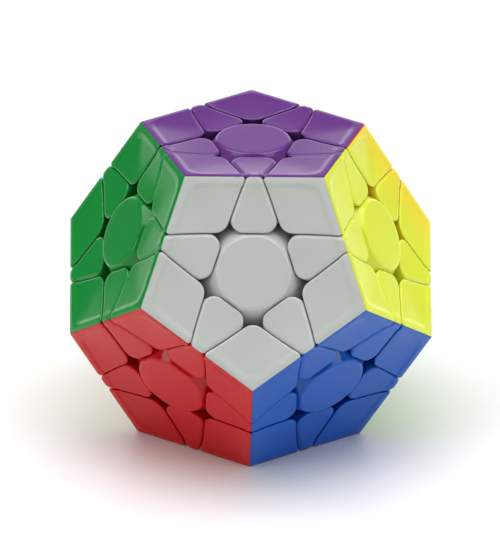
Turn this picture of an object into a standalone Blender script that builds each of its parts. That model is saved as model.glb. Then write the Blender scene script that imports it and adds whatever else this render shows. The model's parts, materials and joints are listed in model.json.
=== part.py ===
"""A dodecahedron twisty puzzle, in metres: twelve turning faces held on one core by sprung screws.

The puzzle stands on its pink face. The origin is the centre of that face, +Z is up, and the white
face looks towards -Y. Every piece is modelled about the puzzle's centre, where all the turning axes
meet, and hangs on an empty that stands there.

Each face turns a layer: one centre, five edges and five corners. The boundary of a layer is a
surface of revolution about the face's axis, made of a flat cut outside the foot sphere and a cone
inside it. An edge is what two layers share, a corner what three share, and a centre is what only
one layer holds. So every piece keeps a foot under its neighbours, and any layer turns freely.
"""

import math
from itertools import combinations

import bmesh
import bpy
from mathutils import Matrix, Vector

# Outside of the puzzle.
EDGE = 0.032
CUT_FROM_FACE_CENTRE = 0.26 * EDGE
SLIT = 0.0004
RECESS_RADIUS = 0.058 * EDGE
RECESS_DEPTH = 0.15 * EDGE

# Hidden feet.
FOOT_SPHERE = 0.97 * EDGE
FOOT_CONE = math.radians(50)
FOOT_GAP = 0.0006
CORE_CLEARANCE = 0.475 * EDGE

# Centre piece: a round cap that flares out to a five-sided skirt, over a cup for spring and screw.
CAP_RADIUS = 0.252 * EDGE
CAP_SIDE = 0.05 * EDGE
SKIRT_RADIUS = 0.33 * EDGE
SKIRT_DEPTH = 0.13 * EDGE
SKIRT_ANGLE = math.radians(28)
SKIRT_ARC_STEPS = 2
CUP_RADIUS = 0.1 * EDGE
CUP_FLOOR = 0.545 * EDGE
CUP_TOP = 0.9 * EDGE
SCREW_HOLE_RADIUS = 0.052 * EDGE

# Screw and spring.
SHANK_RADIUS = 0.04 * EDGE
HEAD_RADIUS = 0.084 * EDGE
HEAD_TOP = 0.84 * EDGE
HEAD_BOTTOM = 0.79 * EDGE
SCREW_TIP = 0.27 * EDGE
DRIVE_SLOT = 0.0008
DRIVE_DEPTH = 0.0007
SPRING_RADIUS = 0.069 * EDGE
SPRING_WIRE_RADIUS = 0.0115 * EDGE
SPRING_TURNS = 4.5
SPRING_POINTS_PER_TURN = 8

# Core: a ball with an arm for each face.
BALL_RADIUS = 0.34 * EDGE
ARM_RADIUS = 0.09 * EDGE
ARM_TIP = 0.46 * EDGE

TOUCH_GAP = 0.0003
TURNED_STEPS = 24
CENTRE_STEPS = 20
SMALL_STEPS = 12
SMOOTH_ANGLE = math.radians(25)
FLAT_ANGLE = math.radians(0.2)
SLIVER = 5e-6

# Geometry of a regular dodecahedron.
GOLDEN = (1 + math.sqrt(5)) / 2
FACE_HEIGHT = EDGE * GOLDEN ** 2 / (2 * math.sqrt(3 - GOLDEN))
AXIS_ANGLE = math.atan(2)
CUT_HEIGHT = FACE_HEIGHT * math.cos(AXIS_ANGLE) + CUT_FROM_FACE_CENTRE * math.sin(AXIS_ANGLE)
RECESS_FROM_FACE_CENTRE = CUT_FROM_FACE_CENTRE / math.cos(math.radians(36))

# Colour, azimuth and tilt of each face, in degrees.
RING_TILT = 90 - math.degrees(AXIS_ANGLE)
FACES = {
    "purple": (0, 90),
    "white": (-90, RING_TILT),
    "yellow": (-18, RING_TILT),
    "orange": (54, RING_TILT),
    "sky": (126, RING_TILT),
    "green": (198, RING_TILT),
    "blue": (-54, -RING_TILT),
    "lime": (18, -RING_TILT),
    "grey": (90, -RING_TILT),
    "cream": (162, -RING_TILT),
    "red": (234, -RING_TILT),
    "pink": (0, -90),
}
TURNING = ("yellow", "green", "pink")

COLOURS = {
    "purple": (0.20, 0.07, 0.33),
    "white": (0.80, 0.81, 0.80),
    "yellow": (0.78, 0.86, 0.06),
    "orange": (0.95, 0.30, 0.03),
    "sky": (0.25, 0.62, 0.85),
    "green": (0.02, 0.27, 0.07),
    "blue": (0.03, 0.12, 0.50),
    "lime": (0.30, 0.72, 0.12),
    "grey": (0.25, 0.26, 0.28),
    "cream": (0.88, 0.80, 0.55),
    "red": (0.58, 0.02, 0.03),
    "pink": (0.90, 0.35, 0.52),
    "core": (0.03, 0.03, 0.035),
    "steel": (0.60, 0.60, 0.62),
}


def axis_of(face):
    """Outward unit normal of a face."""
    azimuth, tilt = (math.radians(angle) for angle in FACES[face])
    flat = math.cos(tilt)
    return Vector((flat * math.cos(azimuth), flat * math.sin(azimuth), math.sin(tilt)))


def are_neighbours(first, second):
    return abs(axis_of(first).angle(axis_of(second)) - AXIS_ANGLE) < 0.1


def neighbours_of(*faces):
    """The faces that border every one of the given faces."""
    return [other for other in FACES if all(are_neighbours(other, face) for face in faces)]


def direction_of(faces):
    """Unit vector from the puzzle's centre to the middle of what the faces share."""
    return sum((axis_of(face) for face in faces), Vector()).normalized()


def edge_list():
    """Pairs of faces that share an edge of the dodecahedron."""
    return [pair for pair in combinations(FACES, 2) if are_neighbours(*pair)]


def corner_list():
    """Trios of faces that meet in a corner of the dodecahedron."""
    trios = combinations(FACES, 3)
    return [trio for trio in trios if all(are_neighbours(*pair) for pair in combinations(trio, 2))]


def corners_at(faces):
    """The corners that touch all the given faces."""
    return [corner for corner in corner_list() if set(faces) <= set(corner)]


def clear_scene():
    for thing in list(bpy.data.objects):
        bpy.data.objects.remove(thing, do_unlink=True)
    for group in list(bpy.data.collections):
        bpy.data.collections.remove(group)


def make_collection(name):
    group = bpy.data.collections.new(name)
    bpy.context.scene.collection.children.link(group)
    return group


def make_material(name, colour, roughness, metallic):
    material = bpy.data.materials.new(name)
    material.use_nodes = True
    shader = material.node_tree.nodes["Principled BSDF"]
    shader.inputs["Base Color"].default_value = (*colour, 1)
    shader.inputs["Roughness"].default_value = roughness
    shader.inputs["Metallic"].default_value = metallic
    material.diffuse_color = (*colour, 1)
    return material


def make_object(name, mesh, group):
    thing = bpy.data.objects.new(name, mesh)
    group.objects.link(thing)
    return thing


def make_cutter(name, mesh, cutters):
    cutter = make_object(name, mesh, cutters)
    cutter.hide_render = True
    cutter.display_type = "WIRE"
    return cutter


def mesh_from(name, shape):
    """Turn a bmesh into a mesh and free it."""
    mesh = bpy.data.meshes.new(name)
    shape.to_mesh(mesh)
    shape.free()
    return mesh


def keep_beyond(shape, normal, height):
    """Cut a convex bmesh with a plane and keep its side along the normal, closed."""
    geometry = shape.verts[:] + shape.edges[:] + shape.faces[:]
    bmesh.ops.bisect_plane(
        shape,
        geom=geometry,
        plane_co=normal * height,
        plane_no=normal,
        clear_inner=True,
    )
    bmesh.ops.holes_fill(shape, edges=shape.edges)
    bmesh.ops.recalc_face_normals(shape, faces=shape.faces)


def dodecahedron_above(name, direction):
    """The dodecahedron's mesh, less what lies near the core on this side and all beyond it."""
    shape = bmesh.new()
    bmesh.ops.create_cube(shape, size=4 * FACE_HEIGHT)
    for face in FACES:
        keep_beyond(shape, -axis_of(face), -FACE_HEIGHT)
    keep_beyond(shape, direction, CORE_CLEARANCE)
    return mesh_from(name, shape)


def turn_profile(thing, profile, steps):
    """Turn a profile of (radius, height) points, from top to bottom, about the Z axis."""
    mesh = thing.data
    points = [(radius, 0, height) for radius, height in profile]
    links = [(index, index + 1) for index in range(len(points) - 1)]
    mesh.from_pydata(points, links, [])
    screw = thing.modifiers.new("turn", "SCREW")
    screw.steps = steps
    screw.render_steps = steps
    screw.use_merge_vertices = True
    screw.merge_threshold = 1e-6


def turned_cutter(name, profile, cutters, direction=Vector((0, 0, 1)), steps=TURNED_STEPS):
    cutter = make_cutter(name, bpy.data.meshes.new(name), cutters)
    turn_profile(cutter, profile, steps)
    cutter.rotation_mode = "QUATERNION"
    cutter.rotation_quaternion = direction.to_track_quat("Z", "Y")
    return cutter


def layer_profile(growth):
    """Profile of a layer, with each boundary moved outwards by growth times half its gap."""
    plane = CUT_HEIGHT - growth * SLIT / 2
    half_gap = growth * FOOT_GAP / 2
    sphere = FOOT_SPHERE + half_gap
    plane_angle = math.acos(plane / sphere)
    cone_angle = FOOT_CONE + math.asin(half_gap / sphere)
    top = 1.3 * FACE_HEIGHT
    far = 2 * FACE_HEIGHT
    return [
        (0, top),
        (far, top),
        (far, plane),
        (sphere * math.sin(plane_angle), plane),
        (sphere * math.sin(cone_angle), sphere * math.cos(cone_angle)),
        (0, -half_gap / math.sin(FOOT_CONE)),
    ]


def recess_cutter(face, corner, cutters):
    """A short round well at the corner of the five-sided opening round a centre."""
    axis = axis_of(face)
    side = (direction_of(corner) - axis * direction_of(corner).dot(axis)).normalized()
    shape = bmesh.new()
    bmesh.ops.create_cone(
        shape,
        cap_ends=True,
        segments=12,
        radius1=RECESS_RADIUS,
        radius2=RECESS_RADIUS,
        depth=2 * RECESS_DEPTH,
    )
    cutter = make_cutter("recess", mesh_from("recess", shape), cutters)
    cutter.rotation_mode = "QUATERNION"
    cutter.rotation_quaternion = axis.to_track_quat("Z", "Y")
    cutter.location = axis * FACE_HEIGHT + side * RECESS_FROM_FACE_CENTRE
    return cutter


def combine(thing, cutter, operation):
    boolean = thing.modifiers.new(operation.lower(), "BOOLEAN")
    boolean.operation = operation
    boolean.solver = "EXACT"
    boolean.object = cutter


def settle(thing):
    """Replace an object's mesh by what its modifiers make of it, without slivers."""
    bpy.context.view_layer.update()
    graph = bpy.context.evaluated_depsgraph_get()
    mesh = bpy.data.meshes.new_from_object(thing.evaluated_get(graph), depsgraph=graph)
    shape = bmesh.new()
    shape.from_mesh(mesh)
    bmesh.ops.remove_doubles(shape, verts=shape.verts, dist=SLIVER)
    bmesh.ops.dissolve_degenerate(shape, edges=shape.edges, dist=SLIVER)
    bmesh.ops.dissolve_limit(shape, angle_limit=FLAT_ANGLE, verts=shape.verts, edges=shape.edges)
    shape.to_mesh(mesh)
    shape.free()
    mesh.shade_smooth()
    mesh.set_sharp_from_angle(angle=SMOOTH_ANGLE)
    thing.modifiers.clear()
    thing.data = mesh
    return mesh


def shared_mesh(name, faces, cutters):
    """Mesh of the edge or corner in the layers of exactly these faces, with its recesses."""
    piece = make_cutter(name, dodecahedron_above(name, direction_of(faces)), cutters)
    for face in faces:
        layer = turned_cutter("layer", layer_profile(-1), cutters, axis_of(face))
        combine(piece, layer, "INTERSECT")
        for corner in corners_at(faces):
            combine(piece, recess_cutter(face, corner, cutters), "DIFFERENCE")
    if len(faces) < 3:
        for other in neighbours_of(*faces):
            layer = turned_cutter("layer_space", layer_profile(1), cutters, axis_of(other))
            combine(piece, layer, "DIFFERENCE")
    return settle(piece)


def centre_profile():
    """Profile of a centre piece: cap, flared skirt, underside along the foot sphere, and stem."""
    top = FACE_HEIGHT
    underside = FOOT_SPHERE + FOOT_GAP / 2
    stem_angle = AXIS_ANGLE - FOOT_CONE - math.asin(FOOT_GAP / 2 / underside)
    arc_step = (SKIRT_ANGLE - stem_angle) / SKIRT_ARC_STEPS
    arc = [SKIRT_ANGLE - index * arc_step for index in range(SKIRT_ARC_STEPS + 1)]
    under_points = [(underside * math.sin(angle), underside * math.cos(angle)) for angle in arc]
    stem_radius = CORE_CLEARANCE * math.tan(AXIS_ANGLE - FOOT_CONE) - FOOT_GAP / 2
    return [
        (0, top),
        (CAP_RADIUS, top),
        (CAP_RADIUS, top - CAP_SIDE),
        (SKIRT_RADIUS, top - SKIRT_DEPTH),
        (2 * SKIRT_RADIUS, top - SKIRT_DEPTH),
        (2 * SKIRT_RADIUS, under_points[0][1]),
        *under_points,
        (stem_radius, CORE_CLEARANCE),
    ]


def centre_mesh(cutters, ending, cup=None):
    """Mesh of a centre on the +Z axis: its profile and an ending, cut to five sides and cupped."""
    piece = make_cutter("centre_shape", bpy.data.meshes.new("centre_shape"), cutters)
    turn_profile(piece, centre_profile() + ending, CENTRE_STEPS)
    shape = bmesh.new()
    bmesh.ops.create_cube(shape, size=4 * FACE_HEIGHT)
    for other in neighbours_of("purple"):
        keep_beyond(shape, -axis_of(other), -(CUT_HEIGHT - SLIT / 2))
    combine(piece, make_cutter("five_sides", mesh_from("five_sides", shape), cutters), "INTERSECT")
    if cup:
        combine(piece, turned_cutter("cup", cup, cutters, steps=SMALL_STEPS), "DIFFERENCE")
    return settle(piece)


def orientation(faces):
    """A right-handed set of directions that fixes how a piece with these faces lies."""
    first = axis_of(faces[0])
    second = axis_of(faces[1])
    return Matrix((first, second, first.cross(second))).transposed()


def place(thing, faces, model_faces, centre):
    """Turn a piece modelled on model_faces so that it lies on faces, about the puzzle's centre."""
    turn = orientation(faces) @ orientation(model_faces).inverted()
    thing.rotation_mode = "QUATERNION"
    thing.rotation_quaternion = turn.to_quaternion()
    thing.parent = centre


def wound_like(faces, model_faces):
    """The three faces of a corner in the order that winds the same way as the model's."""
    def winding(trio):
        return axis_of(trio[0]).cross(axis_of(trio[1])).dot(axis_of(trio[2]))

    if winding(faces) * winding(model_faces) > 0:
        return faces
    return (faces[0], faces[2], faces[1])


def make_core(puzzle, cutters, centre):
    """The ball with its twelve arms, and the nine centres that keep still, each on its arm."""
    shape = bmesh.new()
    bmesh.ops.create_uvsphere(shape, u_segments=20, v_segments=10, radius=BALL_RADIUS)
    core = make_object("core", mesh_from("core", shape), puzzle)
    root = 0.1 * EDGE
    still_mesh = centre_mesh(cutters, [(ARM_RADIUS, CORE_CLEARANCE), (ARM_RADIUS, root), (0, root)])
    arm = [(0, ARM_TIP), (ARM_RADIUS, ARM_TIP), (ARM_RADIUS, root), (0, root)]
    hole_radius = SHANK_RADIUS + TOUCH_GAP
    hole_end = SCREW_TIP - TOUCH_GAP
    hole = [(0, EDGE), (hole_radius, EDGE), (hole_radius, hole_end), (0, hole_end)]
    for face in FACES:
        if face in TURNING:
            combine(core, turned_cutter("arm", arm, cutters, axis_of(face), SMALL_STEPS), "UNION")
        else:
            still = make_cutter("still_centre", still_mesh, cutters)
            place(still, (face, neighbours_of(face)[0]), ("purple", "white"), None)
            combine(core, still, "UNION")
    for face in TURNING:
        screw_hole = turned_cutter("screw_hole", hole, cutters, axis_of(face), SMALL_STEPS)
        combine(core, screw_hole, "DIFFERENCE")
    settle(core)
    core.parent = centre
    return core


def make_screw(face, puzzle, cutters, centre):
    """A pan-head screw along the face's axis, with a cross drive."""
    outline = [
        (0, HEAD_TOP),
        (0.7 * HEAD_RADIUS, HEAD_TOP),
        (HEAD_RADIUS, 0.6 * HEAD_TOP + 0.4 * HEAD_BOTTOM),
        (HEAD_RADIUS, HEAD_BOTTOM),
        (SHANK_RADIUS, HEAD_BOTTOM),
        (SHANK_RADIUS, SCREW_TIP + SHANK_RADIUS),
        (0.4 * SHANK_RADIUS, SCREW_TIP),
        (0, SCREW_TIP),
    ]
    screw = make_object("screw_" + face, bpy.data.meshes.new("screw"), puzzle)
    turn_profile(screw, outline, SMALL_STEPS)
    for slot_length, slot_width in ((HEAD_RADIUS, DRIVE_SLOT), (DRIVE_SLOT, HEAD_RADIUS)):
        shape = bmesh.new()
        bmesh.ops.create_cube(shape, size=1)
        bmesh.ops.scale(shape, vec=(slot_length, slot_width, 2 * DRIVE_DEPTH), verts=shape.verts)
        bmesh.ops.translate(shape, vec=(0, 0, HEAD_TOP), verts=shape.verts)
        combine(screw, make_cutter("drive", mesh_from("drive", shape), cutters), "DIFFERENCE")
    settle(screw)
    place(screw, (face, neighbours_of(face)[0]), ("purple", "white"), centre)
    return screw


def make_spring(face, puzzle, centre):
    """A compression spring between the cup's floor and the screw's head."""
    low = CUP_FLOOR + TOUCH_GAP + SPRING_WIRE_RADIUS
    high = HEAD_BOTTOM - TOUCH_GAP - SPRING_WIRE_RADIUS
    count = round(SPRING_TURNS * SPRING_POINTS_PER_TURN) + 1
    wire = bpy.data.curves.new("spring", "CURVE")
    wire.dimensions = "3D"
    wire.bevel_depth = SPRING_WIRE_RADIUS
    wire.bevel_resolution = 2
    wire.use_fill_caps = True
    line = wire.splines.new("POLY")
    line.points.add(count - 1)
    for index, point in enumerate(line.points):
        angle = 2 * math.pi * index / SPRING_POINTS_PER_TURN
        height = low + (high - low) * index / (count - 1)
        point.co = (SPRING_RADIUS * math.cos(angle), SPRING_RADIUS * math.sin(angle), height, 1)
    spring = make_object("spring_" + face, wire, puzzle)
    place(spring, (face, neighbours_of(face)[0]), ("purple", "white"), centre)
    return spring


def make_pieces(puzzle, cutters, centre, finishes):
    """The edges, the corners and the centres that turn."""
    edges = edge_list()
    edge_mesh = shared_mesh("edge", edges[0], cutters)
    for faces in edges:
        edge = make_object("edge_" + "_".join(faces), edge_mesh.copy(), puzzle)
        edge.data.materials.append(finishes[faces[0]])
        place(edge, faces, edges[0], centre)
    corners = corner_list()
    corner_mesh = shared_mesh("corner", corners[0], cutters)
    for faces in corners:
        corner = make_object("corner_" + "_".join(faces), corner_mesh.copy(), puzzle)
        corner.data.materials.append(finishes[faces[0]])
        place(corner, wound_like(faces, corners[0]), corners[0], centre)
    cup = [
        (0, CUP_TOP),
        (CUP_RADIUS, CUP_TOP),
        (CUP_RADIUS, CUP_FLOOR),
        (SCREW_HOLE_RADIUS, CUP_FLOOR),
        (SCREW_HOLE_RADIUS, 0),
        (0, 0),
    ]
    cup_mesh = centre_mesh(cutters, [(0, CORE_CLEARANCE)], cup)
    for face in TURNING:
        piece = make_object("centre_" + face, cup_mesh.copy(), puzzle)
        piece.data.materials.append(finishes[face])
        place(piece, (face, neighbours_of(face)[0]), ("purple", "white"), centre)


def main():
    clear_scene()
    puzzle = make_collection("dodecahedron_puzzle")
    cutters = make_collection("cutters")
    centre = make_object("puzzle_centre", None, puzzle)
    centre.location = (0, 0, FACE_HEIGHT)
    finishes = {
        name: make_material(name, colour, 0.3 if name == "steel" else 0.22, float(name == "steel"))
        for name, colour in COLOURS.items()
    }
    make_pieces(puzzle, cutters, centre, finishes)
    make_core(puzzle, cutters, centre).data.materials.append(finishes["core"])
    for face in TURNING:
        make_screw(face, puzzle, cutters, centre).data.materials.append(finishes["steel"])
        make_spring(face, puzzle, centre).data.materials.append(finishes["steel"])


main()
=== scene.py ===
"""Looks of a dodecahedron twisty puzzle with stickerless coloured pieces, in metres, +Z up.

Every edge and corner of the puzzle is a coloured foot that carries a glossy shell for each face
it shows. Every centre is a glossy cap over a base, held on the core by a sprung screw.
The shells are drawn in the plane of a face, with the face's outward axis as +Z and the way to one
bordering face as +X, and are then copied onto all twelve faces.
"""

import json
import math
from collections import namedtuple
from itertools import combinations

import bmesh
import bpy
from mathutils import Matrix, Vector

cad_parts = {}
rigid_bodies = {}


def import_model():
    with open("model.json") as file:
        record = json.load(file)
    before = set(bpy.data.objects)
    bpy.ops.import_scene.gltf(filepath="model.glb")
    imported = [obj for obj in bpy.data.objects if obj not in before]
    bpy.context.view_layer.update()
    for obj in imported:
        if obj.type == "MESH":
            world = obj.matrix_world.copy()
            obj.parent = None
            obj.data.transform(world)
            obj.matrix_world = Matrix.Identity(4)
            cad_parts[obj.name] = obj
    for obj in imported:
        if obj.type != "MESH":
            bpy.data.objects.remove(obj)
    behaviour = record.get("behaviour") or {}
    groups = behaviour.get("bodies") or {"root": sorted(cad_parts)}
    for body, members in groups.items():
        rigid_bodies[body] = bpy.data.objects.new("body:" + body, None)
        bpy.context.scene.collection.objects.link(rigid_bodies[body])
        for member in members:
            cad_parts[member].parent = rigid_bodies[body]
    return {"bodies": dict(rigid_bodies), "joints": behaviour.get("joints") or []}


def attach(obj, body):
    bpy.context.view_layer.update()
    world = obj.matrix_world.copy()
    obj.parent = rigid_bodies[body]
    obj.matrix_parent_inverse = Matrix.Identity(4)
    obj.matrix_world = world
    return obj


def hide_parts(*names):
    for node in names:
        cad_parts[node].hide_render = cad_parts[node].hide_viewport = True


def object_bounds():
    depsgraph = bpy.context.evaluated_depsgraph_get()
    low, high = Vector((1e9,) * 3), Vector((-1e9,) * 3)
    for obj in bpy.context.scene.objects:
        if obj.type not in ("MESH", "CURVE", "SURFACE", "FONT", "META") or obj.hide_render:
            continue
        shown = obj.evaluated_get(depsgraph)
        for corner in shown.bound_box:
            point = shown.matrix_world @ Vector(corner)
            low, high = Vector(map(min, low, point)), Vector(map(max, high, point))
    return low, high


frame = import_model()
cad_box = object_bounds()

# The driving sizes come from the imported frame: the turning axes meet in the puzzle's centre, which
# lies one face height above the face that the puzzle stands on.
GOLDEN = (1 + math.sqrt(5)) / 2
PUZZLE_CENTRE = Vector(frame["joints"][0]["pos_m"])
FACE_HEIGHT = PUZZLE_CENTRE.z - cad_box[0].z
EDGE = FACE_HEIGHT * 2 * math.sqrt(3 - GOLDEN) / GOLDEN ** 2
FACE_RADIUS = FACE_HEIGHT / GOLDEN
AXIS_ANGLE = math.atan(2)
ANGLE_TOLERANCE = 0.1
FIFTH = 2 * math.pi / 5

# Cuts and feet, as in the CAD model, but with narrower slits and bevelled feet.
CUT_FROM_FACE_CENTRE = 0.26 * EDGE
CUT_HEIGHT = FACE_HEIGHT * math.cos(AXIS_ANGLE) + CUT_FROM_FACE_CENTRE * math.sin(AXIS_ANGLE)
SLIT = 0.00032
FOOT_SPHERE = 0.97 * EDGE
FOOT_CONE = math.radians(50)
FOOT_GAP = 0.0006
FOOT_INSET = 0.0003
FOOT_BEVEL = 0.00018
FOOT_STEPS = 96
FOOT_ARC_STEPS = 6
CORE_CLEARANCE = 0.475 * EDGE
LAYER_TOP = 1.3 * FACE_HEIGHT
LAYER_RADIUS = 2 * FACE_HEIGHT

# Coloured shells. A shell meets the next face's shell at a mitre and other pieces along cuts.
SHELL_DEPTH = 0.2 * EDGE
SHELL_OVERLAP = 0.0003
MITRE_GAP = 0.00001
MITRE_FILLET = 0.00009
FILLET_WIDTH = 0.0007
FILLET_DEPTH = 0.00045
FILLET_STEPS = 7
CORNER_INNER_RADIUS = 0.1 * EDGE
EDGE_INNER_RADIUS = 0.085 * EDGE
SLIT_END_RADIUS = 0.014 * EDGE
VERTEX_RADIUS = 0.004 * EDGE
LEAST_RADIUS_SHARE = 0.02
FINE_STEP = 0.008 * EDGE
EVEN_STEP = 1.6 * FINE_STEP
STEP_GROWTH = 1.07
RING_STEP = 0.006 * EDGE
RING_GROWTH = 1.16
ARC_STEPS = 7
WALL_SHARES = (0.35, 1)

# Dished face: a rounded lip along the outside, a narrow step down, and a shallow bowl.
LIP_WIDTH = 0.05 * EDGE
LIP_ROUND_WIDTH = 0.032 * EDGE
LIP_ROUND_FALL = 0.0025 * EDGE
STEP_WIDTH = 0.018 * EDGE
STEP_FALL = 0.0075 * EDGE
BOWL_FALL = 0.018 * EDGE
BOWL_REACH = 0.39 * EDGE
DISH_BLEND = 0.1 * EDGE

# Centre cap and base.
CAP_FLAT_RADIUS = 0.248 * EDGE
CAP_FLAT_SHARES = (0.02, 0.25, 0.5, 0.75, 0.92, 1)
CAP_SUNK = 0.01 * EDGE
SKIRT_RADIUS = 0.46 * EDGE
# The cap's side, from the flat top outwards: the rounded rim, a hollow, and the skirt in two
# stretches. Each has its length along the profile, the slope at its end in degrees, and points.
CAP_PROFILE = (
    (0.034 * EDGE, 60, 10),
    (0.012 * EDGE, 50, 3),
    (0.110 * EDGE, 52, 6),
    (0.090 * EDGE, 64, 5),
)
SKIRT_LIMIT_GAP = SLIT / 2
CAP_UNDERSIDE = FOOT_SPHERE + FOOT_GAP / 2
UNDERSIDE_STEPS = 12
RIM_ROUNDS = 8
CENTRE_STEPS = 120
BASE_STEPS = 64
BASE_ROUNDING = 0.008 * EDGE
BASE_SHOULDER = 0.85
CUP_RADIUS = 0.1 * EDGE
CUP_FLOOR = 0.545 * EDGE
SCREW_HOLE_RADIUS = 0.052 * EDGE

# Screw. The head's profile has shares of its radius and of its height.
SHANK_RADIUS = 0.04 * EDGE
THREAD_DEPTH = 0.007 * EDGE
THREAD_PITCH = 0.022 * EDGE
THREAD_ROWS = 6
THREAD_TOP = 0.5 * EDGE
HEAD_RADIUS = 0.084 * EDGE
HEAD_TOP = 0.84 * EDGE
HEAD_BOTTOM = 0.79 * EDGE
HEAD_PROFILE = ((0.05, 1), (0.5, 0.98), (0.75, 0.88), (0.93, 0.66), (1, 0.35), (1, 0))
SCREW_TIP = 0.27 * EDGE
TIP_SHARE = 0.35
DRIVE_SPAN = 1.25 * HEAD_RADIUS
DRIVE_SLOT = 0.0008
DRIVE_DEPTH = 0.0007

# Spring and core.
SPRING_RADIUS = 0.069 * EDGE
SPRING_WIRE_RADIUS = 0.0115 * EDGE
SPRING_TURNS = 6.5
SPRING_POINTS_PER_TURN = 20
SPRING_CLOSED_TURN = 0.75
SPRING_CLOSED_PITCH = 2.05 * SPRING_WIRE_RADIUS
WIRE_SIDES = 10
BALL_RADIUS = 0.34 * EDGE
BALL_SUBDIVISIONS = 5
ARM_RADIUS = 0.09 * EDGE
ARM_CHAMFER = 0.008 * EDGE
ARM_TIP = 0.46 * EDGE
ARM_NECK = (1.18 * ARM_RADIUS, 0.345 * EDGE)
ARM_FOOT_RADIUS = 1.25 * ARM_RADIUS
ARM_NECK_TOP = 0.4 * EDGE
ARM_FOOT_TOP = 0.3 * EDGE
ARM_ROOT = 0.12 * EDGE
TOUCH_GAP = 0.0003
SMALL_STEPS = 32

# Meshing: profiles of closed solids stop just short of the axis they turn about.
SMOOTH_ANGLE = math.radians(40)
LAYER_AXIS_GAP = 1e-7
CORE_AXIS_GAP = 1e-6
LOOP_MERGE = 1e-7
SOLID_MERGE = 4e-6
BEVEL_SEGMENTS = 2

# Studio. The room's brightness depends on the direction, with +Y behind the puzzle and +Z up. The
# pairs say where a change of brightness starts and ends, as coordinates of the unit direction.
FLOOR_RADIUS = 1.0
FLOOR_STEPS = 96
SOFT_BOX_PLACE = (0, 0.1, 1.4)
SOFT_BOX_SIZE = (2.2, 1.5)
SOFT_BOX_POWER = 32
STRIP_PLACE = (0.95, -0.6, 0.5)
STRIP_SIZE = (0.5, 0.9)
STRIP_POWER = 4.2
CARD_BRIGHTNESS = 1.45
CARD_SIDES = (0.62, 0.9)
CARD_TOP = (0.25, 0.52)
ROOM_BRIGHTNESS = 0.12
DARK_BRIGHTNESS = 0.05
DARK_SIDES = (0.42, 0.7)

# Camera.
VIEW_AZIMUTH = math.radians(-1.16)
VIEW_ELEVATION = math.radians(24.76)
VIEW_ROLL = math.radians(0.98)
VIEW_DISTANCE = 3.3
VIEW_SHIFT = (-0.0014, -0.0018)
LENS = 1027
SENSOR_WIDTH = 36
VIEW_CLIP = (0.1, 50)

# Azimuth and tilt of each face's axis, in degrees.
RING_TILT = 90 - math.degrees(AXIS_ANGLE)
FACES = {
    "purple": (0, 90),
    "white": (-90, RING_TILT),
    "yellow": (-18, RING_TILT),
    "orange": (54, RING_TILT),
    "sky": (126, RING_TILT),
    "green": (198, RING_TILT),
    "blue": (-54, -RING_TILT),
    "lime": (18, -RING_TILT),
    "grey": (90, -RING_TILT),
    "cream": (162, -RING_TILT),
    "red": (234, -RING_TILT),
    "pink": (0, -90),
}

# Colour of each face's plastic, and of the other surfaces.
COLOURS = {
    "purple": (0.125, 0.038, 0.205),
    "white": (0.49, 0.512, 0.487),
    "yellow": (0.72, 0.80, 0.062),
    "orange": (0.92, 0.24, 0.015),
    "sky": (0.18, 0.54, 0.80),
    "green": (0.008, 0.235, 0.038),
    "blue": (0.006, 0.094, 0.46),
    "lime": (0.2, 0.5, 0.055),
    "grey": (0.20, 0.21, 0.23),
    "cream": (0.82, 0.72, 0.46),
    "red": (0.54, 0.005, 0.008),
    "pink": (0.85, 0.30, 0.46),
}
CORE_COLOUR = (0.025, 0.025, 0.028)
STEEL_COLOUR = (0.6, 0.6, 0.62)
FLOOR_COLOUR = (0.84, 0.84, 0.84)

# Finish: least and greatest roughness, scale of the patches of gloss, and the scale, strength and
# height of the fine grain. Scales are per metre, and patches of colour are wider than of gloss.
PLASTIC_FINISH = ((0.07, 0.12), 260, (420, 0.05, 0.00004))
CORE_FINISH = ((0.32, 0.42), 300, (700, 0.12, 0.00005))
STEEL_FINISH = ((0.2, 0.32), 500, (900, 0.1, 0.00003))
FLOOR_FINISH = ((0.35, 0.42), 20, (300, 0.02, 0.0001))
COLOUR_DRIFT = 0.05
COLOUR_PATCH = 3
SOFT_DETAIL = 2
GLOSS_DETAIL = 3
PATCH_RANGE = (0.3, 0.7)
SPECULAR = 0.32
SCATTER_SHARE = 0.3
SCATTER_LENGTH = 0.0012

# Painted orange light on the yellow plastic: a warm tint towards the orange face, painted for the
# orange light that shines through the plastic, painted orange bounce light in the recesses near it,
# and a thin red-orange line in the seam between yellow and purple.
PAINTED_GLOW_COLOUR = (1.0, 0.66, 0.06)
PAINTED_GLOW_REACH = 0.5 * EDGE
PAINTED_GLOW_SHARE = 0.55
# Painted orange bounce light in the yellow recesses near the orange face.
PAINTED_BOUNCE_COLOUR = (1.0, 0.58, 0.04)
PAINTED_BOUNCE_SHARE = 0.7
PAINTED_BOUNCE_REACH = (0.6 * EDGE, 0.74 * EDGE)
PAINTED_BOUNCE_DEPTH = (0.03 * EDGE, 0.1 * EDGE)
SEAM_COLOUR = (0.85, 0.06, 0.012)
SEAM_WIDTH = 0.0003
SEAM_BLEND = 0.00008

# A side of a shell: its outward direction in the face's plane, its distance from the face's centre,
# how far it moves outwards per depth below the face, and whether it is a cut or a mitre.
Side = namedtuple("Side", "angle distance spread is_cut")


def axis_of(face):
    """Outward unit normal of a face."""
    azimuth, tilt = (math.radians(angle) for angle in FACES[face])
    flat = math.cos(tilt)
    return Vector((flat * math.cos(azimuth), flat * math.sin(azimuth), math.sin(tilt)))


def are_neighbours(first, second):
    """True if two faces share an edge."""
    return abs(axis_of(first).angle(axis_of(second)) - AXIS_ANGLE) < ANGLE_TOLERANCE


def neighbours_of(*faces):
    """The faces that border every one of the given faces."""
    return [other for other in FACES if all(are_neighbours(other, face) for face in faces)]


def direction_of(faces):
    """Unit vector from the puzzle's centre to the middle of what the faces share."""
    return sum((axis_of(face) for face in faces), Vector()).normalized()


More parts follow.
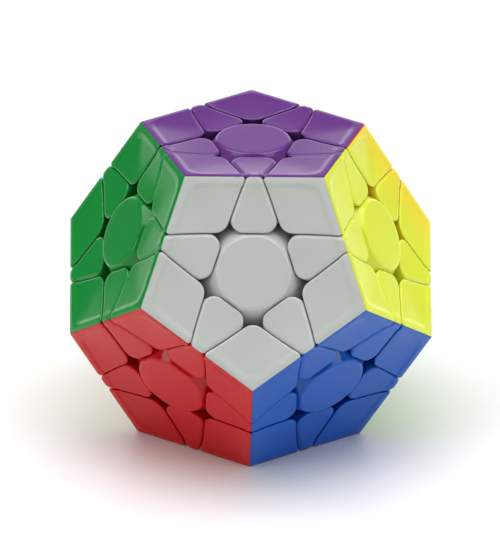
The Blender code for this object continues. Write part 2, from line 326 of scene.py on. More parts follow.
def turns_left(face, first, second):
    """True if going from the first to the second is a left turn, seen from outside the face."""
    return axis_of(first).cross(axis_of(second)).dot(axis_of(face)) > 0


def face_frame(face, neighbour):
    """Matrix from drawing coordinates on a face, with +X towards the neighbour, to the row frame."""
    up = axis_of(face)
    along = axis_of(neighbour)
    along = (along - up * along.dot(up)).normalized()
    turn = Matrix((along, up.cross(along), up)).transposed().to_4x4()
    return Matrix.Translation(PUZZLE_CENTRE) @ turn


def body_of(faces):
    """The body that a piece on these faces rides on: a turning layer, or the root."""
    for face in faces:
        if face + "_layer" in frame["bodies"]:
            return face + "_layer"
    return "root"


def finish_mesh(mesh):
    """Shade a mesh smooth, apart from its sharp edges."""
    mesh.shade_smooth()
    mesh.set_sharp_from_angle(angle=SMOOTH_ANGLE)
    return mesh


def mesh_of_rings(name, rings, closed_ends=True):
    """Skin a list of rings, each with the same number of points, and close both ends."""
    count = len(rings[0])
    points = [point for ring in rings for point in ring]
    polygons = []
    for row in range(len(rings) - 1):
        for index in range(count):
            following = (index + 1) % count
            low = row * count
            high = low + count
            polygons.append((low + index, high + index, high + following, low + following))
    if closed_ends:
        polygons.append(tuple(range(count)))
        last = (len(rings) - 1) * count
        polygons.append(tuple(reversed(range(last, last + count))))
    mesh = bpy.data.meshes.new(name)
    mesh.from_pydata(points, [], polygons)
    shape = bmesh.new()
    shape.from_mesh(mesh)
    bmesh.ops.recalc_face_normals(shape, faces=shape.faces)
    shape.to_mesh(mesh)
    shape.free()
    return finish_mesh(mesh)


def growing_steps(length, first, growth):
    """Fractions from 0 to 1 whose spacing starts at first and grows by the same ratio each time."""
    places = [0.0]
    step = first
    while places[-1] + step < length:
        places.append(places[-1] + step)
        step *= growth
    if length - places[-1] > 0.5 * step or len(places) == 1:
        places.append(length)
    return [place / places[-1] for place in places]


# --- Shells -----------------------------------------------------------------------------------


def smooth_step(value):
    """Smooth change from 0 to 1 while the value goes from 0 to 1."""
    value = min(max(value, 0.0), 1.0)
    return value * value * (3 - 2 * value)


def depth_of_dish(x, y):
    """How far the dished face lies below the flat face at a point of the face's plane.

    The lip and the bowl follow the distance from the face's nearest side, which blends smoothly
    into the distance from the next side near a corner.
    """
    distances = sorted(
        FACE_RADIUS - x * math.cos(index * FIFTH) - y * math.sin(index * FIFTH)
        for index in range(5)
    )
    near, next_near = distances[:2]
    overlap = max(DISH_BLEND - (next_near - near), 0) / DISH_BLEND
    inward = near - overlap * overlap * DISH_BLEND / 4
    rounding = [max(1 - distance / LIP_ROUND_WIDTH, 0) ** 2 for distance in (near, next_near)]
    bowl = min(max((inward - LIP_WIDTH) / BOWL_REACH, 0), 1)
    depth = LIP_ROUND_FALL * math.hypot(*rounding)
    depth += STEP_FALL * smooth_step((inward - LIP_WIDTH) / STEP_WIDTH)
    return depth + BOWL_FALL * bowl * (2 - bowl)


def mitre_side(angle):
    """Side of a shell that meets the next face's shell."""
    return Side(angle, FACE_RADIUS - MITRE_GAP, -1 / GOLDEN, False)


def cut_distance(gap, depth=0):
    """Distance from a face's centre to a neighbour's cut, moved out by a gap, at a depth."""
    height = (FACE_HEIGHT - depth) * math.cos(AXIS_ANGLE)
    return (CUT_HEIGHT + gap - height) / math.sin(AXIS_ANGLE)


def cut_side(angle, beyond):
    """Side of a shell along a layer's cut, on its far side or on its near side."""
    spread = 1 / math.tan(AXIS_ANGLE)
    if beyond:
        return Side(angle + math.pi, -cut_distance(SLIT / 2), -spread, True)
    return Side(angle, cut_distance(-SLIT / 2), spread, True)


def crossing(first, second, first_value, second_value):
    """The point at these distances along two directions of the plane."""
    turn = math.sin(second - first)
    x = (first_value * math.sin(second) - second_value * math.sin(first)) / turn
    y = (second_value * math.cos(first) - first_value * math.cos(second)) / turn
    return Vector((x, y))


def shell_outline(sides, radii, insets, fractions):
    """Points round a shell, each with its drift per depth; radii belong to the sides' starts."""
    arcs = []
    for index, side in enumerate(sides):
        before = sides[index - 1]
        least = LEAST_RADIUS_SHARE * radii[index]
        radius = max(radii[index] - min(insets[index - 1], insets[index]), least)
        reach_before = before.distance - insets[index - 1]
        reach = side.distance - insets[index]
        middle = crossing(before.angle, side.angle, reach_before - radius, reach - radius)
        drift = crossing(before.angle, side.angle, before.spread, side.spread)
        sweep = (side.angle - before.angle) % (2 * math.pi)
        arc = []
        for step in range(ARC_STEPS):
            angle = before.angle + sweep * step / (ARC_STEPS - 1)
            arc.append(middle + radius * Vector((math.cos(angle), math.sin(angle))))
        arcs.append((arc, drift))
    outline = []
    for index, (arc, drift) in enumerate(arcs):
        outline += [(point, drift) for point in arc]
        next_arc, next_drift = arcs[(index + 1) % len(arcs)]
        for fraction in fractions[index][1:-1]:
            point = arc[-1].lerp(next_arc[0], fraction)
            outline.append((point, drift.lerp(next_drift, fraction)))
    return outline


def side_fractions(sides, radii):
    """Where the points along each side lie: finer towards the lip of the dish than elsewhere."""
    plain = shell_outline(sides, radii, [0] * len(sides), [[0, 1]] * len(sides))
    fractions = []
    for index in range(len(sides)):
        start = plain[index * ARC_STEPS + ARC_STEPS - 1][0]
        end = plain[(index + 1) * ARC_STEPS % len(plain)][0]
        length = (end - start).length
        after_cut = sides[index - 1].is_cut
        before_cut = sides[(index + 1) % len(sides)].is_cut
        if after_cut == before_cut:
            count = max(round(length / EVEN_STEP), 2)
            steps = [step / count for step in range(count + 1)]
        else:
            steps = growing_steps(length, FINE_STEP, STEP_GROWTH)
            if after_cut:
                steps = [1 - step for step in reversed(steps)]
        fractions.append(steps)
    return fractions


def fillet_insets(sides, drop):
    """How far each side's elliptical fillet stays inside the side, at a depth below its top."""
    insets = []
    for side in sides:
        width, depth = (FILLET_WIDTH, FILLET_DEPTH) if side.is_cut else (MITRE_FILLET, MITRE_FILLET)
        rise = max(1 - drop / depth, 0)
        insets.append(width * (1 - math.sqrt(1 - rise * rise)))
    return insets


def shell_mesh(name, sides, radii):
    """A closed shell with a dished top, a fillet along its cuts and walls that follow the cuts."""
    fractions = side_fractions(sides, radii)

    def outline_at(drop):
        return shell_outline(sides, radii, fillet_insets(sides, drop), fractions)

    top = outline_at(0)
    middle = sum((point for point, drift in top), Vector((0, 0))) / len(top)
    reach = min((point - middle).length for point, drift in top)
    rings = []
    for share in reversed(growing_steps(reach, RING_STEP, RING_GROWTH)[:-1]):
        ring = []
        for point, drift in top:
            place = point.lerp(middle, share)
            depth = depth_of_dish(*place)
            place = place + drift * depth * (1 - share)
            ring.append((*place, FACE_HEIGHT - depth))
        rings.append(ring)
    depths = [depth_of_dish(*point) for point, drift in top]
    for step in range(1, FILLET_STEPS + 1):
        drop = FILLET_DEPTH * (1 - math.cos(math.pi / 2 * step / FILLET_STEPS))
        ring = []
        for (point, drift), dish in zip(outline_at(drop), depths):
            ring.append((*(point + drift * (dish + drop)), FACE_HEIGHT - dish - drop))
        rings.append(ring)
    outline = outline_at(FILLET_DEPTH)
    for share in WALL_SHARES:
        ring = []
        for (point, drift), dish in zip(outline, depths):
            start = dish + FILLET_DEPTH
            depth = start + (SHELL_DEPTH - start) * share
            ring.append((*(point + drift * depth), FACE_HEIGHT - depth))
        rings.append(ring)
    return mesh_of_rings(name, rings)


def corner_shell_mesh():
    """Shell of a corner between the neighbours at 0 and 72 degrees."""
    sides = [mitre_side(0), mitre_side(FIFTH), cut_side(0, True), cut_side(FIFTH, True)]
    radii = [SLIT_END_RADIUS, VERTEX_RADIUS, SLIT_END_RADIUS, CORNER_INNER_RADIUS]
    return shell_mesh("corner_shell", sides, radii)


def edge_shell_mesh():
    """Shell of an edge towards the neighbour at 0 degrees."""
    sides = [mitre_side(0), cut_side(FIFTH, False), cut_side(0, True), cut_side(-FIFTH, False)]
    radii = [SLIT_END_RADIUS, SLIT_END_RADIUS, EDGE_INNER_RADIUS, EDGE_INNER_RADIUS]
    return shell_mesh("edge_shell", sides, radii)


# --- Centres ----------------------------------------------------------------------------------


def side_reach(angle, height):
    """How far from the axis the cap may reach in a direction before it passes one of the cuts."""
    from_side = (angle + FIFTH / 2) % FIFTH - FIFTH / 2
    return cut_distance(-SKIRT_LIMIT_GAP, FACE_HEIGHT - height) / math.cos(from_side)


def height_of_underside(radius):
    """Height of the cap's underside, which lies on the foot sphere, at a distance from the axis."""
    return math.sqrt(CAP_UNDERSIDE**2 - radius**2)


def rim_of_underside(angle):
    """How far the cap's underside reaches in a direction.

    The cuts lean, so the reach depends on the height, and the height on the reach. A few rounds
    settle both.
    """
    reach = SKIRT_RADIUS
    for step in range(RIM_ROUNDS):
        reach = min(SKIRT_RADIUS, side_reach(angle, height_of_underside(reach)))
    return reach


def cap_mesh():
    """Round cap that flares out into a five-sided skirt and lies on the foot sphere."""
    height = FACE_HEIGHT - CAP_SUNK
    radius = CAP_FLAT_RADIUS
    slope = 0
    rows = [(share * radius, height) for share in CAP_FLAT_SHARES]
    for length, end_slope, steps in CAP_PROFILE:
        for step in range(steps):
            angle = math.radians(slope + (end_slope - slope) * (step + 0.5) / steps)
            radius += length / steps * math.cos(angle)
            height -= length / steps * math.sin(angle)
            rows.append((radius, height))
        slope = end_slope
    columns = []
    for index in range(CENTRE_STEPS):
        angle = 2 * math.pi * index / CENTRE_STEPS
        column = [(min(radius, side_reach(angle, height)), height) for radius, height in rows]
        rim = rim_of_underside(angle)
        side_height = (height + height_of_underside(rim)) / 2
        column.append((min(SKIRT_RADIUS, side_reach(angle, side_height)), side_height))
        for step in range(UNDERSIDE_STEPS, 0, -1):
            reach = rim * step / UNDERSIDE_STEPS
            column.append((reach, height_of_underside(reach)))
        column.append((CAP_FLAT_SHARES[0] * CAP_FLAT_RADIUS, CAP_UNDERSIDE))
        columns.append([(reach * math.cos(angle), reach * math.sin(angle), z) for reach, z in column])
    return mesh_of_rings("cap", list(zip(*columns)))


def ring_of(radius, height, steps):
    """Points of a circle about the axis."""
    angles = [2 * math.pi * index / steps for index in range(steps)]
    return [(radius * math.cos(angle), radius * math.sin(angle), height) for angle in angles]


def turned_mesh(name, profile, steps=SMALL_STEPS, is_loop=False):
    """Turn a profile of (radius, height) points about the axis; a loop closes on its start."""
    rings = [ring_of(radius, height, steps) for radius, height in profile]
    if is_loop:
        rings.append(rings[0])
    mesh = mesh_of_rings(name, rings, closed_ends=not is_loop)
    if is_loop:
        shape = bmesh.new()
        shape.from_mesh(mesh)
        bmesh.ops.remove_doubles(shape, verts=shape.verts, dist=LOOP_MERGE)
        bmesh.ops.recalc_face_normals(shape, faces=shape.faces)
        shape.to_mesh(mesh)
        shape.free()
        finish_mesh(mesh)
    return mesh


def base_mesh():
    """Stem under the cap: a cup for the spring and the screw's head over a bored foot."""
    widest = AXIS_ANGLE - FOOT_CONE - math.asin(FOOT_GAP / 2 / FOOT_SPHERE)
    top = FOOT_SPHERE + FOOT_GAP
    stem_radius = CORE_CLEARANCE * math.tan(AXIS_ANGLE - FOOT_CONE) - FOOT_GAP / 2
    profile = [
        (CUP_RADIUS, top * math.cos(math.asin(CUP_RADIUS / top))),
        (top * math.sin(BASE_SHOULDER * widest), top * math.cos(BASE_SHOULDER * widest)),
        (FOOT_SPHERE * math.sin(widest), FOOT_SPHERE * math.cos(widest) - FOOT_GAP),
        (stem_radius + 0.2 * BASE_ROUNDING, CORE_CLEARANCE + BASE_ROUNDING),
        (stem_radius - BASE_ROUNDING, CORE_CLEARANCE),
        (SCREW_HOLE_RADIUS, CORE_CLEARANCE),
        (SCREW_HOLE_RADIUS, CUP_FLOOR),
        (CUP_RADIUS - BASE_ROUNDING, CUP_FLOOR),
        (CUP_RADIUS, CUP_FLOOR + BASE_ROUNDING),
    ]
    return turned_mesh("base", profile, BASE_STEPS, is_loop=True)


# --- Feet and core ----------------------------------------------------------------------------


def helper_object(name, mesh):
    """Temporary object that holds a mesh, for a Boolean."""
    thing = bpy.data.objects.new(name, mesh)
    bpy.context.scene.collection.objects.link(thing)
    return thing


def combined_mesh(name, mesh, cutters, bevel=0):
    """Mesh of a solid after Booleans with a list of (operation, object), which it uses up."""
    thing = helper_object(name, mesh)
    for operation, cutter in cutters:
        boolean = thing.modifiers.new(operation.lower(), "BOOLEAN")
        boolean.operation = operation
        boolean.solver = "EXACT"
        boolean.object = cutter
    bpy.context.view_layer.update()
    graph = bpy.context.evaluated_depsgraph_get()
    result = bpy.data.meshes.new_from_object(thing.evaluated_get(graph), depsgraph=graph)
    shape = bmesh.new()
    shape.from_mesh(result)
    bmesh.ops.remove_doubles(shape, verts=shape.verts, dist=SOLID_MERGE)
    bmesh.ops.dissolve_degenerate(shape, edges=shape.edges, dist=SOLID_MERGE)
    if bevel:
        rims = [
            rim
            for rim in shape.edges
            if len(rim.link_faces) == 2 and rim.calc_face_angle(0) > SMOOTH_ANGLE
        ]
        bmesh.ops.bevel(
            shape,
            geom=rims,
            offset=bevel,
            segments=BEVEL_SEGMENTS,
            affect="EDGES",
            profile=0.5,
            clamp_overlap=True,
        )
    shape.to_mesh(result)
    shape.free()
    for _, cutter in cutters:
        bpy.data.objects.remove(cutter, do_unlink=True)
    bpy.data.objects.remove(thing, do_unlink=True)
    result.name = name
    return finish_mesh(result)


def keep_beyond(shape, normal, height):
    """Cut a convex bmesh with a plane and keep its side along the normal, closed."""
    geometry = shape.verts[:] + shape.edges[:] + shape.faces[:]
    bmesh.ops.bisect_plane(
        shape, geom=geometry, plane_co=normal * height, plane_no=normal, clear_inner=True
    )
    bmesh.ops.holes_fill(shape, edges=shape.edges)
    bmesh.ops.recalc_face_normals(shape, faces=shape.faces)


def layer_object(face, growth):
    """Solid of a turning layer, with its boundary moved outwards by growth times half its gap."""
    plane = CUT_HEIGHT - growth * (SLIT / 2 + FOOT_INSET / 2)
    half_gap = growth * FOOT_GAP / 2
    sphere = FOOT_SPHERE + half_gap
    plane_angle = math.acos(plane / sphere)
    cone_angle = FOOT_CONE + math.asin(half_gap / sphere)
    profile = [(LAYER_AXIS_GAP, LAYER_TOP), (LAYER_RADIUS, LAYER_TOP), (LAYER_RADIUS, plane)]
    for step in range(FOOT_ARC_STEPS + 1):
        angle = plane_angle + (cone_angle - plane_angle) * step / FOOT_ARC_STEPS
        profile.append((sphere * math.sin(angle), sphere * math.cos(angle)))
    profile.append((LAYER_AXIS_GAP, -half_gap / math.sin(FOOT_CONE)))
    layer = helper_object("layer", turned_mesh("layer", profile, FOOT_STEPS))
    layer.rotation_mode = "QUATERNION"
    layer.rotation_quaternion = axis_of(face).to_track_quat("Z", "Y")
    return layer


def foot_mesh(faces):
    """Foot of the edge or corner on these faces, about the puzzle's centre."""
    direction = direction_of(faces)
    shape = bmesh.new()
    bmesh.ops.create_cube(shape, size=4 * FACE_HEIGHT)
    for face in FACES:
        keep_beyond(shape, -axis_of(face), -(FACE_HEIGHT - SHELL_DEPTH + SHELL_OVERLAP))
    keep_beyond(shape, direction, CORE_CLEARANCE)
    mesh = bpy.data.meshes.new("foot")
    shape.to_mesh(mesh)
    shape.free()
    cutters = [("INTERSECT", layer_object(face, -1)) for face in faces]
    if len(faces) < 3:
        cutters += [("DIFFERENCE", layer_object(other, 1)) for other in neighbours_of(*faces)]
    return combined_mesh("foot", mesh, cutters, bevel=FOOT_BEVEL)


def twelve_fold(name, mesh):
    """One object with a copy of a mesh along every face's axis, about the origin."""
    shape = bmesh.new()
    for face in FACES:
        copy = mesh.copy()
        copy.transform(axis_of(face).to_track_quat("Z", "Y").to_matrix().to_4x4())
        shape.from_mesh(copy)
        bpy.data.meshes.remove(copy)
    joined = bpy.data.meshes.new(name)
    shape.to_mesh(joined)
    shape.free()
    return helper_object(name, joined)


def core_mesh():
    """Ball with twelve bored arms."""
    arm = [
        (CORE_AXIS_GAP, ARM_TIP),
        (ARM_RADIUS - ARM_CHAMFER, ARM_TIP),
        (ARM_RADIUS, ARM_TIP - ARM_CHAMFER),
        (ARM_RADIUS, ARM_NECK_TOP),
        ARM_NECK,
        (ARM_FOOT_RADIUS, ARM_FOOT_TOP),
        (ARM_FOOT_RADIUS, ARM_ROOT),
        (CORE_AXIS_GAP, ARM_ROOT),
    ]
    hole_radius = SHANK_RADIUS + TOUCH_GAP
    hole_end = SCREW_TIP - TOUCH_GAP
    hole = [(CORE_AXIS_GAP, EDGE), (hole_radius, EDGE), (hole_radius, hole_end)]
    hole.append((CORE_AXIS_GAP, hole_end))
    shape = bmesh.new()
    bmesh.ops.create_icosphere(shape, subdivisions=BALL_SUBDIVISIONS, radius=BALL_RADIUS)
    ball = bpy.data.meshes.new("ball")
    shape.to_mesh(ball)
    shape.free()
    arms = twelve_fold("arms", turned_mesh("arm", arm))
    holes = twelve_fold("holes", turned_mesh("hole", hole))
    return combined_mesh("core", ball, [("UNION", arms), ("DIFFERENCE", holes)])


# --- Screws and springs -----------------------------------------------------------------------


def screw_mesh():
    """Pan-head screw with a cross drive and a thread."""
    rings = []
    for share, height in HEAD_PROFILE:
        level = HEAD_BOTTOM + (HEAD_TOP - HEAD_BOTTOM) * height
        rings.append(ring_of(share * HEAD_RADIUS, level, SMALL_STEPS))
    shank = SHANK_RADIUS - THREAD_DEPTH
    rings.append(ring_of(shank, HEAD_BOTTOM, SMALL_STEPS))
    rings.append(ring_of(shank, THREAD_TOP, SMALL_STEPS))
    rows = int((THREAD_TOP - SCREW_TIP) / THREAD_PITCH * THREAD_ROWS)
    for row in range(1, rows + 1):
        height = THREAD_TOP - row * THREAD_PITCH / THREAD_ROWS
        taper = min((height - SCREW_TIP) / (2 * SHANK_RADIUS), 1)
        ring = []
        for x, y, z in ring_of(1, height, SMALL_STEPS):
            turn = math.atan2(y, x) / (2 * math.pi) + height / THREAD_PITCH
            crest = 1 - abs(2 * (turn % 1) - 1)
            radius = (shank + THREAD_DEPTH * crest) * (TIP_SHARE + (1 - TIP_SHARE) * max(taper, 0))
            ring.append((radius * x, radius * y, z))
        rings.append(ring)
    mesh = mesh_of_rings("screw", rings)
    cutters = []
    for length, width in ((DRIVE_SPAN, DRIVE_SLOT), (DRIVE_SLOT, DRIVE_SPAN)):
        shape = bmesh.new()
        bmesh.ops.create_cube(shape, size=1)
        bmesh.ops.scale(shape, vec=(length, width, 2 * DRIVE_DEPTH), verts=shape.verts)
        bmesh.ops.translate(shape, vec=(0, 0, HEAD_TOP), verts=shape.verts)
        cross = bpy.data.meshes.new("drive")
        shape.to_mesh(cross)
        shape.free()
        cutters.append(("DIFFERENCE", helper_object("drive", cross)))
    return combined_mesh("screw", mesh, cutters)


def spring_path():
    """Points along the spring's wire, which climbs between a closed turn at each end."""
    low = CUP_FLOOR + TOUCH_GAP + SPRING_WIRE_RADIUS
    high = HEAD_BOTTOM - TOUCH_GAP - SPRING_WIRE_RADIUS
    count = round(SPRING_TURNS * SPRING_POINTS_PER_TURN)
    end = SPRING_CLOSED_TURN / SPRING_TURNS
    closed = SPRING_CLOSED_PITCH
    path = []
    for index in range(count + 1):
        share = index / count
        angle = 2 * math.pi * SPRING_TURNS * share
        climb = min(max((share - end) / (1 - 2 * end), 0), 1)
        lift = closed * min(share / end, 1) + closed * max((share - 1 + end) / end, 0)
        height = low + lift + (high - low - 2 * closed) * climb
        path.append(Vector((SPRING_RADIUS * math.cos(angle), SPRING_RADIUS * math.sin(angle), height)))
    return path


def spring_mesh():
    """Compression spring between the cup's floor and the screw's head."""
    path = spring_path()
    rings = []
    for index, point in enumerate(path):
        ahead = path[min(index + 1, len(path) - 1)] - path[max(index - 1, 0)]
        outward = Vector((point.x, point.y, 0)).normalized()
        across = ahead.cross(outward).normalized()
        ring = []
        for step in range(WIRE_SIDES):
            angle = 2 * math.pi * step / WIRE_SIDES
            offset = outward * math.cos(angle) + across * math.sin(angle)
            ring.append(tuple(point + SPRING_WIRE_RADIUS * offset))
        rings.append(ring)
    return mesh_of_rings("spring", rings)


# --- Materials --------------------------------------------------------------------------------


def ramp(tree, value, low, high, from_value, to_value):
    """Smooth change from one value to another while a socket's value goes from low to high."""
    node = tree.nodes.new("ShaderNodeMapRange")
    node.interpolation_type = "SMOOTHSTEP"
    node.inputs["From Min"].default_value = low
    node.inputs["From Max"].default_value = high
    node.inputs["To Min"].default_value = from_value
    node.inputs["To Max"].default_value = to_value
    tree.links.new(value, node.inputs["Value"])
    return node.outputs["Result"]


def combine_values(tree, operation, first, second):
    """Result of a maths operation on two values, each a number or the output of a node."""
    node = tree.nodes.new("ShaderNodeMath")
    node.operation = operation
    for value, socket in zip((first, second), node.inputs):
        if isinstance(value, (int, float)):
            socket.default_value = value
        else:
            tree.links.new(value, socket)
    return node.outputs["Value"]


def noise(tree, scale, detail):
    """Soft patches in the object's own coordinates."""
    coordinates = tree.nodes.new("ShaderNodeTexCoord")
    patches = tree.nodes.new("ShaderNodeTexNoise")
    patches.inputs["Scale"].default_value = scale
    patches.inputs["Detail"].default_value = detail
    tree.links.new(coordinates.outputs["Object"], patches.inputs["Vector"])
    return patches.outputs["Fac"]


def mixed_colour(tree, factor, first, second):
    """Colour between two others, each a constant or the output of a node."""
    mix = tree.nodes.new("ShaderNodeMix")
    mix.data_type = "RGBA"
    ends = [entry for entry in mix.inputs if entry.identifier in ("A_Color", "B_Color")]
    for end, colour in zip(ends, (first, second)):
        if isinstance(colour, bpy.types.NodeSocket):
            tree.links.new(colour, end)
        else:
            end.default_value = (*colour, 1)
    tree.links.new(factor, mix.inputs["Factor"])
    return next(entry for entry in mix.outputs if entry.identifier == "Result_Color")


def height_above(tree, face):
    """How far a point of a piece lies towards a face, from the puzzle's centre."""
    position = tree.nodes.new("ShaderNodeTexCoord").outputs["Object"]
    along = tree.nodes.new("ShaderNodeVectorMath")
    along.operation = "DOT_PRODUCT"
    along.inputs[1].default_value = axis_of(face)
    tree.links.new(position, along.inputs[0])
    centre_height = axis_of(face).dot(PUZZLE_CENTRE)
    return combine_values(tree, "SUBTRACT", along.outputs["Value"], centre_height)


def yellow_with_painted_orange_light(tree, yellow):
    """Yellow plastic with painted orange light near the orange face, and a thin line in its seam."""
    # Painted light: a warm orange tint near the orange face stands for light shining through the
    # yellow.
    to_orange = height_above(tree, "orange")
    near = ramp(tree, to_orange, FACE_HEIGHT - PAINTED_GLOW_REACH, FACE_HEIGHT, 0, 1)
    near = combine_values(tree, "MULTIPLY", near, near)
    painted_glow = combine_values(tree, "MULTIPLY", near, PAINTED_GLOW_SHARE)
    painted_yellow = mixed_colour(tree, painted_glow, yellow, PAINTED_GLOW_COLOUR)
    # Painted bounce light: amber in the recesses near the orange face, more of it deeper down.
    close = ramp(tree, to_orange, *PAINTED_BOUNCE_REACH, 0, PAINTED_BOUNCE_SHARE)
    top, bottom = (FACE_HEIGHT - depth for depth in PAINTED_BOUNCE_DEPTH)
    deep = ramp(tree, height_above(tree, "yellow"), bottom, top, 1, 0)
    painted_bounce = combine_values(tree, "MULTIPLY", close, deep)
    painted_yellow = mixed_colour(tree, painted_bounce, painted_yellow, PAINTED_BOUNCE_COLOUR)
    seam_start = FACE_HEIGHT - SEAM_WIDTH
    on_edge = ramp(tree, height_above(tree, "purple"), seam_start - SEAM_BLEND, seam_start, 0, 1)
    in_layer = ramp(tree, to_orange, CUT_HEIGHT - SEAM_BLEND, CUT_HEIGHT, 0, 1)
    in_seam = combine_values(tree, "MULTIPLY", on_edge, in_layer)
    return mixed_colour(tree, in_seam, painted_yellow, SEAM_COLOUR)


def make_material(name, colour, finish, metallic=0.0, scatter=0.0, recolour=None):
    """Moulded or turned surface: colour and gloss drift softly, and a fine grain lifts it."""
    roughness, patch_scale, (grain_scale, grain_strength, grain_height) = finish
    material = bpy.data.materials.new(name)
    material.use_nodes = True
    tree = material.node_tree
    shader = tree.nodes["Principled BSDF"]
    shades = [[share * value for value in colour] for share in (1 - COLOUR_DRIFT, 1 + COLOUR_DRIFT)]
    shown = mixed_colour(tree, noise(tree, patch_scale / COLOUR_PATCH, SOFT_DETAIL), *shades)
    if recolour:
        shown = recolour(tree, shown)
    tree.links.new(shown, shader.inputs["Base Color"])
    shader.inputs["Metallic"].default_value = metallic
    shader.inputs["Specular IOR Level"].default_value = SPECULAR
    shader.inputs["Subsurface Weight"].default_value = scatter
    shader.inputs["Subsurface Radius"].default_value = (1, 1, 1)
    shader.inputs["Subsurface Scale"].default_value = SCATTER_LENGTH
    gloss = tree.nodes.new("ShaderNodeMapRange")
    gloss.inputs["From Min"].default_value = PATCH_RANGE[0]
    gloss.inputs["From Max"].default_value = PATCH_RANGE[1]
    gloss.inputs["To Min"].default_value = roughness[0]
    gloss.inputs["To Max"].default_value = roughness[1]
    tree.links.new(noise(tree, patch_scale, GLOSS_DETAIL), gloss.inputs["Value"])
    tree.links.new(gloss.outputs["Result"], shader.inputs["Roughness"])
    grain = tree.nodes.new("ShaderNodeBump")
    grain.inputs["Strength"].default_value = grain_strength
    grain.inputs["Distance"].default_value = grain_height
    tree.links.new(noise(tree, grain_scale, SOFT_DETAIL), grain.inputs["Height"])
    tree.links.new(grain.outputs["Normal"], shader.inputs["Normal"])
    return material


def make_plastic(face):
    """Glossy plastic of a face; light scatters in it a little."""
    # Yellow gets painted orange light near the orange face.
    recolour = yellow_with_painted_orange_light if face == "yellow" else None
    name = face + "_plastic"
    return make_material(name, COLOURS[face], PLASTIC_FINISH, scatter=SCATTER_SHARE, recolour=recolour)


# --- Assembly ---------------------------------------------------------------------------------


def add_piece(name, mesh, matrix, material, body, node):
    """Put a copy of a mesh in place, riding on a body and standing for a CAD node."""
    mesh = mesh.copy()
    mesh.name = name
    mesh.transform(matrix)
    mesh.materials.clear()
    mesh.materials.append(material)
    piece = bpy.data.objects.new(name, mesh)
    bpy.context.scene.collection.objects.link(piece)
    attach(piece, body)
    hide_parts(node)


def orientation(faces):
    """A right-handed set of directions that fixes how a piece on these faces lies."""
    first = axis_of(faces[0])
    second = axis_of(faces[1])
    return Matrix((first, second, first.cross(second))).transposed()


def turn_between(model_faces, faces):
    """Matrix that carries a foot modelled on model_faces onto faces, in the row frame."""
    if len(faces) == 3:
        if turns_left(model_faces[0], *model_faces[1:]) != turns_left(faces[0], *faces[1:]):
            faces = (faces[0], faces[2], faces[1])
    turn = orientation(faces) @ orientation(model_faces).inverted()
    return Matrix.Translation(PUZZLE_CENTRE) @ turn.to_4x4()


def add_shared_pieces(plastics):
    """The edges and corners: a foot each, and a shell for each face."""
    pairs = [pair for pair in combinations(FACES, 2) if are_neighbours(*pair)]
    trios = [
        trio
        for trio in combinations(FACES, 3)
        if all(are_neighbours(*pair) for pair in combinations(trio, 2))
    ]
    for kind, groups, shell in (
        ("edge", pairs, edge_shell_mesh()),
        ("corner", trios, corner_shell_mesh()),
    ):
        foot = foot_mesh(groups[0])
        for faces in groups:
            node = kind + "_" + "_".join(faces)
            body = body_of(faces)
            place = turn_between(groups[0], faces)
            last = faces[-1]
            add_piece(f"{node}.foot", foot, place, plastics[last], body, node)
            for face in faces:
                others = [other for other in faces if other != face]
                if len(others) == 2 and not turns_left(face, *others):
                    others.reverse()
                place = face_frame(face, others[0])
                name = f"{node}.{face}_shell"
                add_piece(name, shell, place, plastics[face], body, node)


def add_centres(plastics, steel):
    """Cap, base, screw and spring of all twelve centres; in CAD the still ones are in the core."""
    cap = cap_mesh()
    base = base_mesh()
    screw = screw_mesh()
    spring = spring_mesh()
    for face in FACES:
        place = face_frame(face, neighbours_of(face)[0])
        body = body_of([face])
        plastic = plastics[face]
        nodes = {kind: f"{kind}_{face}" for kind in ("centre", "screw", "spring")}
        if body == "root":
            nodes = dict.fromkeys(nodes, "core")
        add_piece(f"centre_{face}.cap", cap, place, plastic, body, nodes["centre"])
        add_piece(f"centre_{face}.base", base, place, plastic, body, nodes["centre"])
        add_piece(f"centre_{face}.screw", screw, place, steel, "root", nodes["screw"])
        add_piece(f"centre_{face}.spring", spring, place, steel, "root", nodes["spring"])


def add_core():
    """Dark ball with its arms."""
    dark = make_material("core_plastic", CORE_COLOUR, CORE_FINISH)
    place = Matrix.Translation(PUZZLE_CENTRE)
    add_piece("core_ball", core_mesh(), place, dark, "root", "core")


# --- Studio -----------------------------------------------------------------------------------


def add_floor():
    """A round pale floor, wide enough to fill the view and to light the puzzle from below."""
    mesh = bpy.data.meshes.new("floor")
    shape = bmesh.new()
    bmesh.ops.create_circle(shape, cap_ends=True, segments=FLOOR_STEPS, radius=FLOOR_RADIUS)
    shape.to_mesh(mesh)
    shape.free()
    mesh.materials.append(make_material("pale_floor", FLOOR_COLOUR, FLOOR_FINISH))
    floor = bpy.data.objects.new("floor", mesh)
    bpy.context.scene.collection.objects.link(floor)
    floor.location.z = cad_box[0].z


def add_area_light(name, place, size, power):
    """Rectangular lamp that faces the puzzle."""
    lamp = bpy.data.lights.new(name, "AREA")
    lamp.shape = "RECTANGLE"
    lamp.size, lamp.size_y = size
    lamp.energy = power
    light = bpy.data.objects.new(name, lamp)
    bpy.context.scene.collection.objects.link(light)
    light.location = place
    light.rotation_mode = "QUATERNION"
    light.rotation_quaternion = (PUZZLE_CENTRE - Vector(place)).to_track_quat("-Z", "Y")


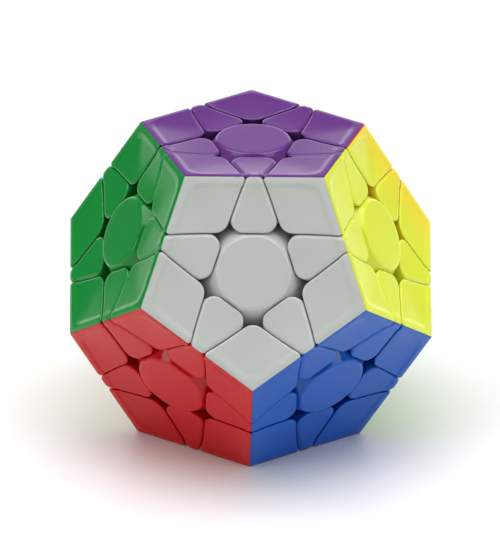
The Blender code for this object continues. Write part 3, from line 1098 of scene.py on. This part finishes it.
def add_lights():
    """A broad soft box overhead, a strip on each side, a pale card low behind and a dim room.

    The camera sees the room as white beyond the floor.
    """
    add_area_light("soft_box", SOFT_BOX_PLACE, SOFT_BOX_SIZE, SOFT_BOX_POWER)
    x, y, z = STRIP_PLACE
    add_area_light("left_strip", (-x, y, z), STRIP_SIZE, STRIP_POWER)
    add_area_light("right_strip", (x, y, z), STRIP_SIZE, STRIP_POWER)
    world = bpy.data.worlds.new("studio")
    bpy.context.scene.world = world
    world.use_nodes = True
    tree = world.node_tree
    background = tree.nodes["Background"]
    background.inputs["Color"].default_value = (1, 1, 1, 1)
    direction = tree.nodes.new("ShaderNodeTexCoord").outputs["Generated"]
    split = tree.nodes.new("ShaderNodeSeparateXYZ")
    tree.links.new(direction, split.inputs["Vector"])
    behind = ramp(tree, split.outputs["Y"], *CARD_SIDES, 0, CARD_BRIGHTNESS)
    low = ramp(tree, split.outputs["Z"], *CARD_TOP, 1, 0)
    card = combine_values(tree, "MULTIPLY", behind, low)
    walls = ramp(tree, split.outputs["Y"], *DARK_SIDES, ROOM_BRIGHTNESS, DARK_BRIGHTNESS)
    room = combine_values(tree, "ADD", card, walls)
    seen = tree.nodes.new("ShaderNodeLightPath").outputs["Is Camera Ray"]
    tree.links.new(combine_values(tree, "MAXIMUM", room, seen), background.inputs["Strength"])


def add_camera():
    """Nearly parallel view of the puzzle's centre."""
    back = Vector(
        (
            math.sin(VIEW_AZIMUTH) * math.cos(VIEW_ELEVATION),
            -math.cos(VIEW_AZIMUTH) * math.cos(VIEW_ELEVATION),
            math.sin(VIEW_ELEVATION),
        )
    )
    lens = bpy.data.cameras.new("camera")
    lens.lens = LENS
    lens.sensor_width = SENSOR_WIDTH
    lens.sensor_fit = "HORIZONTAL"
    lens.shift_x, lens.shift_y = VIEW_SHIFT
    lens.clip_start, lens.clip_end = VIEW_CLIP
    camera = bpy.data.objects.new("camera", lens)
    bpy.context.scene.collection.objects.link(camera)
    camera.location = PUZZLE_CENTRE + back * VIEW_DISTANCE
    camera.rotation_mode = "QUATERNION"
    roll = Matrix.Rotation(VIEW_ROLL, 3, "Z").to_quaternion()
    camera.rotation_quaternion = (-back).to_track_quat("-Z", "Y") @ roll
    bpy.context.scene.camera = camera


def main():
    plastics = {face: make_plastic(face) for face in FACES}
    steel = make_material("steel", STEEL_COLOUR, STEEL_FINISH, metallic=1.0)
    add_shared_pieces(plastics)
    add_centres(plastics, steel)
    add_core()
    add_floor()
    add_lights()
    add_camera()
    bpy.context.scene.view_settings.view_transform = "Standard"


main()
